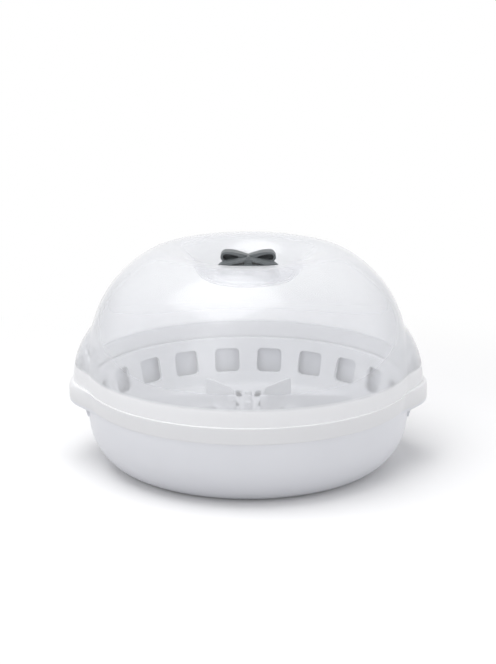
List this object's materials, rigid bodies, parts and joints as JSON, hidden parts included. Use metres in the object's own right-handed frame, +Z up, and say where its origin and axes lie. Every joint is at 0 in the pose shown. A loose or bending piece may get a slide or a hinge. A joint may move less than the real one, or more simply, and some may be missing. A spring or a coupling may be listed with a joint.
{
  "type": "microwave bottle sterilizer",
  "caption": "Round microwave steam sterilizer: white water bowl with two carrying ears, perforated bottle rack and clear domed lid with a bow-shaped knob in a dish.",
  "frame": {"origin": "on the surface it stands on, under its centre", "axes": "+Z up, front towards -Y, carrying ears at -X and +X"},
  "size_m": [0.282, 0.258, 0.1682],
  "materials": {
    "white_bowl": "cool white moulded plastic, satin gloss",
    "white_rack": "white moulded plastic, fine satin",
    "clear_lid": "clear glossy plastic, frosted in a band above the skirt",
    "grey_knob": "dark slate grey moulded plastic, satin",
    "grey_clip": "dark slate grey moulded plastic, satin"
  },
  "bodies": {
    "base": {"base_bowl": "white_bowl"},
    "rack": {"rack_basket": "white_rack", "drain_tray": "white_rack", "bottle_fin_1": "white_rack", "bottle_fin_2": "white_rack", "bottle_fin_3": "white_rack", "bottle_fin_4": "white_rack", "bottle_fin_5": "white_rack", "bottle_fin_6": "white_rack", "bottle_fin_7": "white_rack", "bottle_fin_8": "white_rack", "teat_peg_1": "white_rack", "teat_peg_2": "white_rack", "teat_peg_3": "white_rack", "teat_peg_4": "white_rack", "teat_peg_5": "white_rack"},
    "lid": {"lid_dome": "clear_lid", "bow_knob": "grey_knob", "knob_clip": "grey_clip"}
  },
  "joints": [
    {"name": "rack_lift", "type": "slide", "parent": "base", "child": "rack", "axis": [0, 0, 1], "range_m": [0, 0.07]},
    {"name": "lid_lift", "type": "slide", "parent": "rack", "child": "lid", "axis": [0, 0, 1], "range_m": [0, 0.12]}
  ]
}
